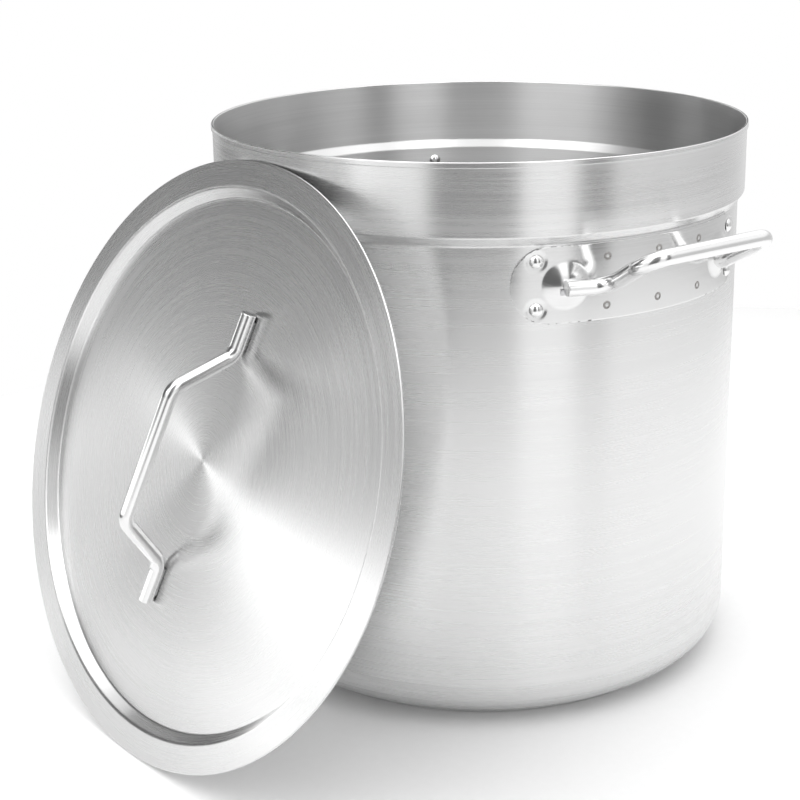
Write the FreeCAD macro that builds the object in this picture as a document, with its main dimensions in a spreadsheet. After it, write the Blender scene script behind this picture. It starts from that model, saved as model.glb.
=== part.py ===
import FreeCAD, Part
import math
import os

# Large stainless brew kettle: a stepped, straight-sided pot with two riveted side handles and a
# sunken lid that leans against the pot. Millimetres, +Z up, origin under the centre of the base.
# The side handles stand on +X and -X.

SIZES = {
    # pot
    "kettle_height": 512.0,
    "body_radius": 244.0,
    "collar_radius": 250.0,
    "collar_height": 63.0,
    "step_height": 8.0,
    "sheet": 1.2,
    "corner_radius": 36.0,
    "hem_height": 5.0,
    "hem_depth": 1.2,
    # sandwich base
    "base_radius": 212.0,
    "base_height": 7.0,
    "base_skin": 0.8,
    "base_edge": 4.0,
    # handle brackets
    "bracket_sheet": 1.5,
    "bracket_half_height": 33.0,
    "bracket_end": 29.5,
    "bracket_reach": 131.0,
    "bracket_middle": 407.0,
    "boss_angle": 21.3,
    "boss_reach": 17.5,
    "boss_rise": 5.0,
    # rivets and spot welds
    "rivet_angle": 27.2,
    "rivet_spread": 20.5,
    "rivet_shank": 3.0,
    "rivet_head": 6.0,
    "rivet_rise": 3.0,
    "rivet_clearance": 0.1,
    "spot_radius": 3.6,
    "spot_rise": 0.35,
    "spot_angle": 12.5,
    "spot_spread": 21.0,
    # side handles
    "handle_rod": 7.0,
    "handle_bend": 20.0,
    "handle_foot_end": 97.5,
    "handle_foot_bend": 61.0,
    "handle_corner": 74.0,
    "handle_reach": 309.0,
    "handle_lift": 33.0,
    "weld_rise": 0.5,
    "weld_width": 5.0,
    "weld_length": 26.0,
    # lid
    "lid_radius": 263.0,
    "lid_sheet": 1.0,
    "lid_hem": 2.4,
    "lid_hem_width": 3.0,
    "lid_recess_radius": 238.0,
    "lid_panel_radius": 231.0,
    "lid_recess": 10.0,
    "lid_lean": 71.6,
    "lid_bearing": 4.6,
    "lid_gap": 0.3,
    "lid_handle_rod": 6.5,
    "lid_handle_bend": 16.0,
    "lid_handle_end": 138.0,
    "lid_handle_foot": 99.0,
    "lid_handle_corner": 62.0,
    "lid_handle_rise": 50.0,
    "lid_handle_turn": -11.4,
}

doc = FreeCAD.newDocument("brew_kettle")
sheet = doc.addObject("Spreadsheet::Sheet", "Sizes")
for row, (alias, value) in enumerate(SIZES.items(), start=1):
    sheet.set("A%d" % row, alias)
    sheet.set("B%d" % row, str(value))
    sheet.setAlias("B%d" % row, alias)
doc.recompute()

NODES = []


def size(alias):
    """A driving dimension, read back from the sheet."""
    return float(sheet.get(alias))


def value_of(expression):
    """The number that an expression on the sheet's aliases stands for."""
    return float(sheet.evalExpression(expression))


def bound(expression):
    """The same expression with each alias written as a reference to the sheet."""
    for alias in sorted(SIZES, key=len, reverse=True):
        expression = expression.replace("{" + alias + "}", "Sizes." + alias)
    return expression


def new_body(label, many=False):
    body = doc.addObject("PartDesign::Body", label)
    body.Label = label
    if many:
        body.AllowCompound = True
    NODES.append(body)
    return body


def plane_of(body, role):
    for feature in body.Origin.OriginFeatures:
        if feature.Role == role:
            return feature
    raise RuntimeError("no plane " + role)


def new_sketch(body, role="XZ_Plane"):
    sketch = body.newObject("Sketcher::SketchObject", body.Label + "_sketch")
    sketch.AttachmentSupport = [(plane_of(body, role), "")]
    sketch.MapMode = "FlatFace"
    return sketch


def radial_sketch(body, angle, height):
    """A sketch whose x runs outward from the pot's axis at an angle, and whose y is a height."""
    sketch = new_sketch(body)
    rotation = FreeCAD.Rotation(FreeCAD.Vector(0, 1, 0), value_of(bound(angle)))
    sketch.AttachmentOffset = FreeCAD.Placement(FreeCAD.Vector(0, 0, 0), rotation)
    sketch.setExpression("AttachmentOffset.Base.y", bound(height))
    sketch.setExpression("AttachmentOffset.Rotation.Angle", bound(angle))
    return sketch


def bind_point(sketch, edge, point, across, up):
    for kind, expression in (("DistanceX", across), ("DistanceY", up)):
        index = sketch.addConstraint(
            Sketcher.Constraint(kind, -1, 1, edge, point, value_of(bound(expression))))
        sketch.setExpression("Constraints[%d]" % index, bound(expression))


def outline(sketch, points, arcs=None):
    """A closed outline through points given as expressions.

    arcs maps a point's number to (centre, radius): the edge from it to the next is an arc.
    """
    arcs = arcs or {}
    places = [FreeCAD.Vector(value_of(bound(x)), value_of(bound(y)), 0) for x, y in points]
    count = len(places)
    starts = {}
    ends = {}
    for number in range(count):
        begin = places[number]
        finish = places[(number + 1) % count]
        if number in arcs:
            (cx, cy), radius = arcs[number]
            centre = FreeCAD.Vector(value_of(bound(cx)), value_of(bound(cy)), 0)
            first = math.atan2(begin.y - centre.y, begin.x - centre.x)
            last = math.atan2(finish.y - centre.y, finish.x - centre.x)
            turn = (last - first) % (2 * math.pi)
            forward = turn < math.pi
            if not forward:
                first, last = last, first
            circle = Part.Circle(centre, FreeCAD.Vector(0, 0, 1), value_of(bound(radius)))
            edge = sketch.addGeometry(Part.ArcOfCircle(circle, first, last), False)
            starts[number] = (edge, 1 if forward else 2)
            ends[number] = (edge, 2 if forward else 1)
            index = sketch.addConstraint(
                Sketcher.Constraint("Radius", edge, value_of(bound(radius))))
            sketch.setExpression("Constraints[%d]" % index, bound(radius))
        else:
            edge = sketch.addGeometry(Part.LineSegment(begin, finish), False)
            starts[number] = (edge, 1)
            ends[number] = (edge, 2)
    for number in range(count):
        following = (number + 1) % count
        sketch.addConstraint(
            Sketcher.Constraint("Coincident", *ends[number], *starts[following]))
        bind_point(sketch, *starts[number], *points[number])
    return sketch


def turn_about(body, kind, sketch, axis, angle=360.0, midplane=False):
    feature = body.newObject("PartDesign::" + kind, body.Label + "_" + kind.lower())
    feature.Profile = sketch
    feature.ReferenceAxis = (sketch, [axis])
    feature.Angle = angle
    feature.Midplane = midplane
    sketch.Visibility = False
    doc.recompute()
    return feature


def fillet(body, circles, radius):
    """Round the circular edges given by (radius, height) about the body's own Z axis."""
    base = body.Tip
    names = []
    for number, edge in enumerate(base.Shape.Edges, start=1):
        if not isinstance(edge.Curve, Part.Circle):
            continue
        place = edge.Curve.Center
        for wanted_radius, wanted_height in circles:
            near_radius = abs(edge.Curve.Radius - value_of(bound(wanted_radius))) < 0.01
            near_height = abs(place.z - value_of(bound(wanted_height))) < 0.01
            if near_radius and near_height and math.hypot(place.x, place.y) < 0.01:
                names.append("Edge%d" % number)
    if len(names) != len(circles):
        raise RuntimeError("%s: %d edges found for %d fillets" % (body.Label, len(names), len(circles)))
    feature = body.newObject("PartDesign::Fillet", body.Label + "_fillet")
    feature.Base = (base, names)
    feature.Radius = value_of(bound(radius))
    feature.setExpression("Radius", bound(radius))
    doc.recompute()
    return feature


def rounded_path(points, bend):
    """A wire through points, each inner corner rounded with one bend radius."""
    edges = []
    start = points[0]
    for before, corner, after in zip(points, points[1:], points[2:]):
        back = (before - corner).normalize()
        ahead = (after - corner).normalize()
        half = back.getAngle(ahead) / 2
        setback = bend / math.tan(half)
        middle = (back + ahead).normalize()
        centre = corner + middle * (bend / math.sin(half))
        arc_start = corner + back * setback
        arc_end = corner + ahead * setback
        arc_middle = centre - middle * bend
        edges.append(Part.LineSegment(start, arc_start).toShape())
        edges.append(Part.Arc(arc_start, arc_middle, arc_end).toShape())
        start = arc_end
    edges.append(Part.LineSegment(start, points[-1]).toShape())
    return Part.Wire(edges)


def bent_rod(label, points, bend, radius):
    """A round bar on a path bent in space, which no flat sketch can carry."""
    path = rounded_path(points, bend)
    direction = points[1] - points[0]
    section = Part.Wire([Part.Circle(points[0], direction, radius).toShape()])
    rod = path.makePipeShell([section], True, False)
    node = doc.addObject("Part::Feature", label)
    node.Label = label
    node.Shape = rod
    NODES.append(node)
    return node


# --- pot -----------------------------------------------------------------------------------------

STEP_TOP = "{kettle_height} - {collar_height}"
STEP_FOOT = "{kettle_height} - {collar_height} - {step_height}"
HEM_FOOT = "{kettle_height} - {hem_height}"
HEM_RADIUS = "{collar_radius} + {hem_depth}"
INNER_BODY = "{body_radius} - {sheet}"
INNER_COLLAR = "{collar_radius} - {sheet}"
INNER_FLOOR = "{base_height} + {sheet}"


def pot_shell():
    """One drawn sheet: flat floor, rounded corner, straight body, stepped collar, hemmed rim."""
    body = new_body("pot_shell")
    outer = outline(new_sketch(body), [
        ("0", "{base_height}"),
        ("{body_radius} - {corner_radius}", "{base_height}"),
        ("{body_radius}", "{base_height} + {corner_radius}"),
        ("{body_radius}", STEP_FOOT),
        ("{collar_radius}", STEP_TOP),
        ("{collar_radius}", HEM_FOOT),
        (HEM_RADIUS, HEM_FOOT),
        (HEM_RADIUS, "{kettle_height}"),
        ("0", "{kettle_height}"),
    ], {1: (("{body_radius} - {corner_radius}", "{base_height} + {corner_radius}"), "{corner_radius}")})
    turn_about(body, "Revolution", outer, "V_Axis")
    inner = outline(new_sketch(body), [
        ("0", INNER_FLOOR),
        ("{body_radius} - {corner_radius}", INNER_FLOOR),
        (INNER_BODY, "{base_height} + {corner_radius}"),
        (INNER_BODY, STEP_FOOT),
        (INNER_COLLAR, STEP_TOP),
        (INNER_COLLAR, "{kettle_height}"),
        ("0", "{kettle_height}"),
    ], {1: (("{body_radius} - {corner_radius}", "{base_height} + {corner_radius}"),
            "{corner_radius} - {sheet}")})
    turn_about(body, "Groove", inner, "V_Axis")
    fillet(body, [(HEM_RADIUS, "{kettle_height}"), (INNER_COLLAR, "{kettle_height}")], "{sheet} * 0.9")
    fillet(body, [(HEM_RADIUS, HEM_FOOT)], "{hem_depth} * 0.8")
    fillet(body, [("{body_radius}", STEP_FOOT), ("{collar_radius}", STEP_TOP),
                  (INNER_BODY, STEP_FOOT), (INNER_COLLAR, STEP_TOP)], "{step_height} / 2")
    for side in ("0", "180"):
        for sign in ("+", "-"):
            for row in ("+", "-"):
                hole = radial_sketch(body, side + sign + "{rivet_angle}",
                                     "{bracket_middle}" + row + "{rivet_spread}")
                outline(hole, [
                    ("{body_radius} - 6 * {sheet}", "0"),
                    ("{body_radius} + 6 * {sheet}", "0"),
                    ("{body_radius} + 6 * {sheet}", "{rivet_shank} + {rivet_clearance}"),
                    ("{body_radius} - 6 * {sheet}", "{rivet_shank} + {rivet_clearance}"),
                ])
                turn_about(body, "Groove", hole, "H_Axis")
    return body


def base_core():
    """The aluminium disc under the floor that spreads the heat."""
    body = new_body("base_core")
    disc = outline(new_sketch(body), [
        ("0", "{base_skin}"),
        ("{base_radius} - {base_edge}", "{base_skin}"),
        ("{base_radius} - {base_skin}", "{base_edge}"),
        ("{base_radius} - {base_skin}", "{base_height}"),
        ("0", "{base_height}"),
    ], {1: (("{base_radius} - {base_edge}", "{base_edge}"), "{base_edge} - {base_skin}")})
    turn_about(body, "Revolution", disc, "V_Axis")
    return body


def base_cap():
    """The stainless pan pressed round the core, the face that stands on the hob."""
    body = new_body("base_cap")
    disc = outline(new_sketch(body), [
        ("0", "0"),
        ("{base_radius} - {base_edge}", "0"),
        ("{base_radius}", "{base_edge}"),
        ("{base_radius}", "{base_height}"),
        ("0", "{base_height}"),
    ], {1: (("{base_radius} - {base_edge}", "{base_edge}"), "{base_edge}")})
    turn_about(body, "Revolution", disc, "V_Axis")
    room = outline(new_sketch(body), [
        ("0", "{base_skin}"),
        ("{base_radius} - {base_edge}", "{base_skin}"),
        ("{base_radius} - {base_skin}", "{base_edge}"),
        ("{base_radius} - {base_skin}", "{base_height}"),
        ("0", "{base_height}"),
    ], {1: (("{base_radius} - {base_edge}", "{base_edge}"), "{base_edge} - {base_skin}")})
    turn_about(body, "Groove", room, "V_Axis")
    return body


# --- handle brackets -----------------------------------------------------------------------------

BRACKET_FACE = "{body_radius} + {bracket_sheet}"
BOSS_BALL = "(({boss_reach})^2 + ({boss_rise})^2) / (2 * {boss_rise})"
END_ARC = "(({bracket_half_height})^2 + ({bracket_end})^2) / (2 * {bracket_end})"


def bosses(body, kind, radius):
    """A ball at each end of the bracket, whose cap is the raised boss under a handle foot."""
    for sign in ("+", "-"):
        ball = body.newObject("PartDesign::" + kind, body.Label + "_boss")
        depth = "(" + BRACKET_FACE + " + {boss_rise} - " + BOSS_BALL + ")"
        ball.setExpression("Radius", bound(radius))
        ball.setExpression("Placement.Base.x", bound(depth + " * cos({boss_angle})"))
        ball.setExpression("Placement.Base.y", bound("0" + sign + depth + " * sin({boss_angle})"))
        ball.setExpression("Placement.Base.z", bound("{bracket_middle}"))
        doc.recompute()


def bracket(label, side):
    """A sheet plate with round ends, rolled to the pot's wall, with two raised bosses."""
    body = new_body(label)
    strip = outline(new_sketch(body), [
        ("{body_radius}", "{bracket_middle} - {bracket_half_height}"),
        (BRACKET_FACE, "{bracket_middle} - {bracket_half_height}"),
        (BRACKET_FACE, "{bracket_middle} + {bracket_half_height}"),
        ("{body_radius}", "{bracket_middle} + {bracket_half_height}"),
    ])
    turn_about(body, "Revolution", strip, "V_Axis", 90.0, True)
    bosses(body, "AdditiveSphere", BOSS_BALL)
    bosses(body, "SubtractiveSphere", BOSS_BALL + " - {bracket_sheet}")
    bore = outline(new_sketch(body), [
        ("0", "0"),
        ("{body_radius}", "0"),
        ("{body_radius}", "{kettle_height}"),
        ("0", "{kettle_height}"),
    ])
    turn_about(body, "Groove", bore, "V_Axis")
    trim_ends(body)
    for sign in ("+", "-"):
        for row in ("+", "-"):
            hole = radial_sketch(body, "0" + sign + "{rivet_angle}",
                                 "{bracket_middle}" + row + "{rivet_spread}")
            outline(hole, [
                ("{body_radius} - 6 * {sheet}", "0"),
                ("{body_radius} + 6 * {sheet}", "0"),
                ("{body_radius} + 6 * {sheet}", "{rivet_shank} + {rivet_clearance}"),
                ("{body_radius} - 6 * {sheet}", "{rivet_shank} + {rivet_clearance}"),
            ])
            turn_about(body, "Groove", hole, "H_Axis")
    body.Placement = turned(side)
    return body


def trim_ends(body):
    """Cut the strip's square ends round, leaving the stadium outline."""
    straight = "{bracket_reach} - {bracket_end}"
    before = body.Shape.Volume
    for sign in ("+", "-"):
        sketch = new_sketch(body, "YZ_Plane")
        top = "{bracket_middle} + {bracket_half_height}"
        foot = "{bracket_middle} - {bracket_half_height}"
        tip = "0" + sign + "({bracket_reach})"
        root = "0" + sign + "(" + straight + ")"
        far = "0" + sign + "({body_radius})"
        middle = "0" + sign + "({bracket_reach} - " + END_ARC + ")"
        ring = ((middle, "{bracket_middle}"), END_ARC)
        outline(sketch, [
            (root, foot),
            (tip, "{bracket_middle}"),
            (root, top),
            (root, top + " + {bracket_end}"),
            (far, top + " + {bracket_end}"),
            (far, foot + " - {bracket_end}"),
            (root, foot + " - {bracket_end}"),
        ], {0: ring, 1: ring})
        pocket = body.newObject("PartDesign::Pocket", body.Label + "_end")
        pocket.Profile = sketch
        pocket.Type = "ThroughAll"
        pocket.Midplane = True
        sketch.Visibility = False
        doc.recompute()
    if body.Shape.Volume > before * 0.99:
        raise RuntimeError(body.Label + ": its ends weren't cut")


def turned(degrees):
    return FreeCAD.Placement(FreeCAD.Vector(0, 0, 0), FreeCAD.Rotation(FreeCAD.Vector(0, 0, 1), degrees))


# --- rivets and welds ----------------------------------------------------------------------------

def rivet_group(label, side):
    """Four round-headed rivets, each through the bracket and the pot wall."""
    body = new_body(label, many=True)
    head_face = BRACKET_FACE + " + {rivet_clearance}"
    tail_face = INNER_BODY + " - {rivet_clearance}"
    ball = "(({rivet_head})^2 + ({rivet_rise})^2) / (2 * {rivet_rise})"
    for sign in ("+", "-"):
        for row in ("+", "-"):
            sketch = radial_sketch(body, "0" + sign + "{rivet_angle}",
                                   "{bracket_middle}" + row + "{rivet_spread}")
            outline(sketch, [
                (tail_face + " - {rivet_rise}", "0"),
                (head_face + " + {rivet_rise}", "0"),
                (head_face, "{rivet_head}"),
                (head_face, "{rivet_shank}"),
                (tail_face, "{rivet_shank}"),
                (tail_face, "{rivet_head}"),
            ], {1: ((head_face + " + {rivet_rise} - " + ball, "0"), ball),
                5: ((tail_face + " - {rivet_rise} + " + ball, "0"), ball)})
            turn_about(body, "Revolution", sketch, "H_Axis")
    body.Placement = turned(side)
    return body


def spot_weld_group(label, side):
    """Six round weld buttons in two rows that fix the bracket's middle to the wall."""
    body = new_body(label, many=True)
    for angle in ("0 - {spot_angle}", "0", "{spot_angle}"):
        for row in ("+", "-"):
            sketch = radial_sketch(body, angle, "{bracket_middle}" + row + "{spot_spread}")
            outline(sketch, [
                (BRACKET_FACE + " + 0.02", "0"),
                (BRACKET_FACE + " + {spot_rise}", "0"),
                (BRACKET_FACE + " + {spot_rise}", "{spot_radius} - {spot_rise}"),
                (BRACKET_FACE + " + 0.02", "{spot_radius}"),
            ])
            turn_about(body, "Revolution", sketch, "H_Axis")
    body.Placement = turned(side)
    return body


def foot_places():
    """The side handle's near foot in its own frame: end, bend, and the foot's height."""
    radius = size("body_radius") + size("bracket_sheet") + size("boss_rise")
    radius += size("weld_rise") + size("handle_rod")
    angle = math.radians(size("boss_angle"))
    touch = FreeCAD.Vector(radius * math.cos(angle), -radius * math.sin(angle), size("bracket_middle"))
    along = FreeCAD.Vector(math.sin(angle), math.cos(angle), 0)
    end = touch + along * ((-size("handle_foot_end") - touch.y) / along.y)
    bend = touch + along * ((-size("handle_foot_bend") - touch.y) / along.y)
    return touch, along, end, bend


def side_handle(label, side):
    """A round bar bent to a flat-topped loop, its two feet lying along the bracket."""
    touch, along, end, bend = foot_places()
    corner = FreeCAD.Vector(size("handle_reach"), -size("handle_corner"),
                            size("bracket_middle") + size("handle_lift"))
    half = [end, bend, corner]
    mirrored = [FreeCAD.Vector(point.x, -point.y, point.z) for point in reversed(half)]
    node = bent_rod(label, half + mirrored, size("handle_bend"), size("handle_rod"))
    node.Placement = turned(side)
    return node


def handle_weld_group(label, side):
    """A weld under each foot of a side handle, between the bar and the boss."""
    touch, along, end, bend = foot_places()
    outward = FreeCAD.Vector(along.y, -along.x, 0)
    length = size("weld_length")
    width = size("weld_width")
    drop = size("handle_rod") + size("weld_rise")
    start = touch - outward * drop - along * (length / 4) - FreeCAD.Vector(0, 0, width / 2)
    pads = []
    pad = Part.makeBox(length / 2, size("weld_rise"), width)
    turn = FreeCAD.Rotation(along, outward, FreeCAD.Vector(0, 0, 1), "XYZ")
    pad.Placement = FreeCAD.Placement(start, turn)
    pads.append(pad)
    pads.append(pad.mirror(FreeCAD.Vector(0, 0, 0), FreeCAD.Vector(0, 1, 0)))
    node = doc.addObject("Part::Feature", label)
    node.Label = label
    node.Shape = Part.makeCompound(pads)
    node.Placement = turned(side)
    NODES.append(node)
    return node


# --- lid -----------------------------------------------------------------------------------------

def lid_placement():
    """Foot of the flange on the floor, head of it on the collar, seen from the pot's axis."""
    lean = math.radians(size("lid_lean"))
    bearing = math.radians(size("lid_bearing"))
    out = size("collar_radius") + size("lid_gap")
    out += size("lid_radius") * math.cos(lean) + size("lid_hem") * math.sin(lean)
    height = size("lid_radius") * math.sin(lean) + size("lid_hem") * math.cos(lean)
    place = FreeCAD.Vector(out * math.sin(bearing), -out * math.cos(bearing), height)
    return FreeCAD.Placement(place, FreeCAD.Rotation(size("lid_bearing"), 0, size("lid_lean")))


def lid_cover():
    """A disc of sheet with a flat flange, a hemmed edge and a sunken panel."""
    body = new_body("lid_cover")
    disc = outline(new_sketch(body), [
        ("0", "0 - {lid_recess}"),
        ("{lid_panel_radius}", "0 - {lid_recess}"),
        ("{lid_recess_radius}", "0"),
        ("{lid_radius}", "0"),
        ("{lid_radius}", "0 - {lid_hem}"),
        ("{lid_radius} - {lid_hem_width}", "0 - {lid_hem}"),
        ("{lid_radius} - {lid_hem_width}", "0 - {lid_sheet}"),
        ("{lid_recess_radius} + {lid_sheet} * 0.5", "0 - {lid_sheet}"),
        ("{lid_panel_radius} + {lid_sheet} * 0.5", "0 - {lid_recess} - {lid_sheet}"),
        ("0", "0 - {lid_recess} - {lid_sheet}"),
    ])
    turn_about(body, "Revolution", disc, "V_Axis")
    fillet(body, [("{lid_panel_radius}", "0 - {lid_recess}"),
                  ("{lid_recess_radius} + {lid_sheet} * 0.5", "0 - {lid_sheet}")], "3")
    fillet(body, [("{lid_recess_radius}", "0"),
                  ("{lid_panel_radius} + {lid_sheet} * 0.5", "0 - {lid_recess} - {lid_sheet}")], "4")
    fillet(body, [("{lid_radius}", "0"), ("{lid_radius}", "0 - {lid_hem}")], "{lid_hem} * 0.45")
    body.Placement = lid_placement()
    return body


def lid_handle():
    """A round bar bent to a flat-topped loop on the lid's middle, its feet on the panel."""
    low = size("weld_rise") + size("lid_handle_rod") - size("lid_recess")
    high = low + size("lid_handle_rise")
    half = [(-size("lid_handle_end"), low), (-size("lid_handle_foot"), low),
            (-size("lid_handle_corner"), high)]
    points = half + [(-along, rise) for along, rise in reversed(half)]
    turn = FreeCAD.Rotation(FreeCAD.Vector(0, 0, 1), size("lid_handle_turn"))
    path = [turn.multVec(FreeCAD.Vector(0, along, rise)) for along, rise in points]
    node = bent_rod("lid_handle", path, size("lid_handle_bend"), size("lid_handle_rod"))
    node.Placement = lid_placement()
    return node


def lid_handle_welds():
    """A weld under each foot of the lid handle, between the bar and the panel."""
    length = size("weld_length")
    width = size("weld_width")
    middle = (size("lid_handle_end") + size("lid_handle_foot")) / 2
    turn = FreeCAD.Placement(FreeCAD.Vector(0, 0, 0),
                             FreeCAD.Rotation(FreeCAD.Vector(0, 0, 1), size("lid_handle_turn")))
    pads = []
    for sign in (1, -1):
        pad = Part.makeBox(width, length, size("weld_rise"))
        corner = FreeCAD.Vector(-width / 2, sign * middle - length / 2, -size("lid_recess"))
        pad.Placement = turn.multiply(FreeCAD.Placement(corner, FreeCAD.Rotation()))
        pads.append(pad)
    node = doc.addObject("Part::Feature", "lid_handle_welds")
    node.Label = "lid_handle_welds"
    node.Shape = Part.makeCompound(pads)
    node.Placement = lid_placement()
    NODES.append(node)
    return node


def export():
    doc.recompute()
    for thing in doc.Objects:
        if "Invalid" in thing.State or "Error" in thing.State:
            raise RuntimeError(thing.Label + " didn't recompute: " + str(thing.State))
    os.makedirs("parts", exist_ok=True)
    for node in NODES:
        shape = node.Shape
        if shape.isNull() or not shape.isValid():
            raise RuntimeError(node.Label + " has no valid shape")
        shape.exportStep("parts/" + node.Label + ".step")
        print(node.Label, "solids", len(shape.Solids), "volume", round(shape.Volume))


import Sketcher

pot_shell()
base_core()
base_cap()
for end, side in (("right", 0.0), ("left", 180.0)):
    bracket("bracket_" + end, side)
    rivet_group("bracket_rivets_" + end, side)
    spot_weld_group("bracket_spot_welds_" + end, side)
    side_handle("side_handle_" + end, side)
    handle_weld_group("side_handle_welds_" + end, side)
lid_cover()
lid_handle()
lid_handle_welds()
export()
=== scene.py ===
import math

import bmesh
import bpy
from bpy.props import FloatProperty, FloatVectorProperty, IntProperty, PointerProperty
from mathutils import Matrix, Vector


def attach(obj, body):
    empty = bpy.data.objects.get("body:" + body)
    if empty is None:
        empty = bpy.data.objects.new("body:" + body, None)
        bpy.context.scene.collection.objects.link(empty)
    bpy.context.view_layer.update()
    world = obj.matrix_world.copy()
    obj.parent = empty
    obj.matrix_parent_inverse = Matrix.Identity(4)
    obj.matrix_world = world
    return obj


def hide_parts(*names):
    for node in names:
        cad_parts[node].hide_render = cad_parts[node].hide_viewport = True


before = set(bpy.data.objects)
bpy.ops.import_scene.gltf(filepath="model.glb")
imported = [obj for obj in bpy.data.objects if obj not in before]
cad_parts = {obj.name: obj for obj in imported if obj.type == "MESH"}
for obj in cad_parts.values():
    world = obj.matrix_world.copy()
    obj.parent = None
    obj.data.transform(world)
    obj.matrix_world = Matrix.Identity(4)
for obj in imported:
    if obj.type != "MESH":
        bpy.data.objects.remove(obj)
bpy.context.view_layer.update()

bl_info = {
    "name": "Brew kettle",
    "version": (1, 0, 0),
    "blender": (4, 5, 0),
    "location": "3D View > Sidebar > Kettle",
    "description": "Builds a large stainless brew kettle with its lid leaning on it, and a plain studio",
    "category": "Object",
}

MM = 0.001
POT_BODY = "kettle"
LID_BODY = "lid"
SIDES = (("right", 0.0), ("left", math.pi))

# The longest run of an outline before it is divided, and the tightest bends of the pressed sheet.
POT_RUN = 40.0 * MM
LID_RUN = 30.0 * MM
PRESS_BEND = 3.0 * MM
WIDE_BEND = 4.0 * MM
POT_HEM_EDGE = 1.1 * MM
LID_HEM_EDGE = 1.05 * MM
SOFT_EDGE = 0.5 * MM
CUT_EDGE = 0.3 * MM
THIN_EDGE = 0.2 * MM
ROUNDING_STEPS = 9

# Which faces of the pot get the inside finish: how far they look inwards, or up and how near the floor.
LOOKS_INWARDS = -1e-4
LOOKS_UP = 0.5
NEAR_FLOOR = 1.0 * MM

# Divisions of a bent bar round itself and round a bend, and the easing of its cut ends.
BAR_SIDES = 40
BEND_STEPS = 14
BAR_EASING = 0.9 * MM
BAR_EASING_PROFILE = 0.6
EASING_STEPS = 3

# Divisions round a fastener, and over a rivet's head; how deep a fastener is sunk in its plate.
FASTENER_SEGMENTS = 32
RIVET_STEPS = 12
RIVET_SUNK = 0.2 * MM

# A spot weld's outline: share of its radius, height in millimetres, rounding in millimetres.
SPOT_OUTLINE = (
    (0.0, -0.3, 0.0),
    (1.0, -0.3, 0.0),
    (1.0, 0.05, 0.1),
    (0.84, 0.34, 0.3),
    (0.62, 0.08, 0.3),
    (0.3, 0.08, 0.3),
    (0.0, 0.22, 0.0),
)
SPOT_SUPPORT = 0.05 * MM
SPOT_STEPS = 4

# Divisions of a bracket: along half its straight run, round one end, and up its height.
PLATE_RUN_STEPS = 100
PLATE_END_STEPS = 48
PLATE_ROWS = 62

# The dent pressed round a rivet, and how far a boss's soft foot spreads past its reach.
DENT_WIDTH = 4.5 * MM
DENT_DEPTH = 0.55 * MM
SOFT_BOSS = 1.2

# The easing of a bracket's edge, and the sharpest corner that it leaves alone.
PLATE_EASING = 0.6 * MM
PLATE_CORNER = math.radians(55.0)

# How fast a scratch's pattern changes along its line, as a share of how fast it does across it.
SCRATCH_TURN = 0.007

# Textures: scale, detail and roughness of each noise. Scratches take their scale from the finish.
FINE_SCRATCHES = (4.0, 0.7)
BROAD_SCRATCHES = (3.0, 0.6)
BROAD_SCALE = 0.12
SLOW_WEAR = (5.0, 2.0, 0.5)
SWIRLS = (900.0, 3.0, 0.6)
HANDLED_PATCHES = (22.0, 3.0, 0.5)
WELD_MOTTLE = (700.0, 3.0, 0.6)
PAPER_GRAIN = (120.0, 2.0, 0.5)
RELIEF_DEPTH = 0.05 * MM

# How much of a mixed texture is its first layer, and how far a colour wanders either way.
FINE_SHARE = 0.6
SCRATCH_SHARE = 0.7
SWIRL_SHARE = 0.45
TURNED_TINT = 0.045
POLISHED_TINT = 0.025
WELD_RING_TINT = 0.25
WELD_MIDDLE_TINT = 0.04

# Where a spot weld's dark ring, which is painted shade, gives way to its middle, in radii along its
# outline's length.
WELD_RING = (1.62, 1.78)
WELD_ROUGHNESS = (0.22, 0.38)

# Turned finishes: colour, roughness, its spread, stretch of reflections, grain, relief.
TURNED_FINISHES = {
    "pot_steel": ("body_colour", 0.27, 0.05, 0.80, 900.0, 0.35),
    "pot_inside_steel": ("body_colour", 0.36, 0.05, 0.93, 700.0, 0.30),
    "spun_steel": ("lid_colour", 0.27, 0.035, 0.93, 1500.0, 0.12),
    "plate_steel": ("body_colour", 0.16, 0.04, 0.0, 700.0, 0.15),
    "core_aluminium": ("core_colour", 0.35, 0.05, 0.0, 600.0, 0.3),
}

# Polished finishes: colour, roughness, its spread, relief.
POLISHED_FINISHES = {
    "bar_steel": ("bar_colour", 0.19, 0.03, 0.06),
    "rivet_steel": ("bar_colour", 0.16, 0.03, 0.05),
    "weld_steel": ("core_colour", 0.30, 0.06, 0.30),
}

# Degrees round the kettle from the camera, and how bright the studio's wall is there.
STUDIO_BANDS = (
    (-180.0, 0.75), (-155.0, 0.50), (-135.0, 0.10), (-80.0, 0.08), (-70.0, 0.35), (-58.0, 0.40),
    (-50.0, 1.00), (-24.0, 1.00), (-16.0, 0.15), (14.0, 0.15), (20.0, 1.00), (38.0, 1.00),
    (45.0, 0.12), (53.0, 0.12), (60.0, 0.68), (110.0, 0.66), (165.0, 0.80), (180.0, 0.75),
)

# The surround, in degrees: the low glow's height, half depth and fade, its bearing, half width and
# fade, the start and end of the fade overhead, and of the extra light above head height.
GLOW_HEIGHT = -1.5
GLOW_DEPTH = (2.5, 5.0)
GLOW_BEARING = -98.0
GLOW_WIDTH = (48.0, 60.0)
OVERHEAD_FADE = (56.0, 74.0)
LIFT_FADE = (8.0, 24.0)

# A bright window in it: bearing, height, outer and inner edge in degrees, and level.
WINDOW = (-60.0, 33.0)
WINDOW_EDGE = (13.0, 8.0)
WINDOW_LEVEL = 1.6

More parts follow.
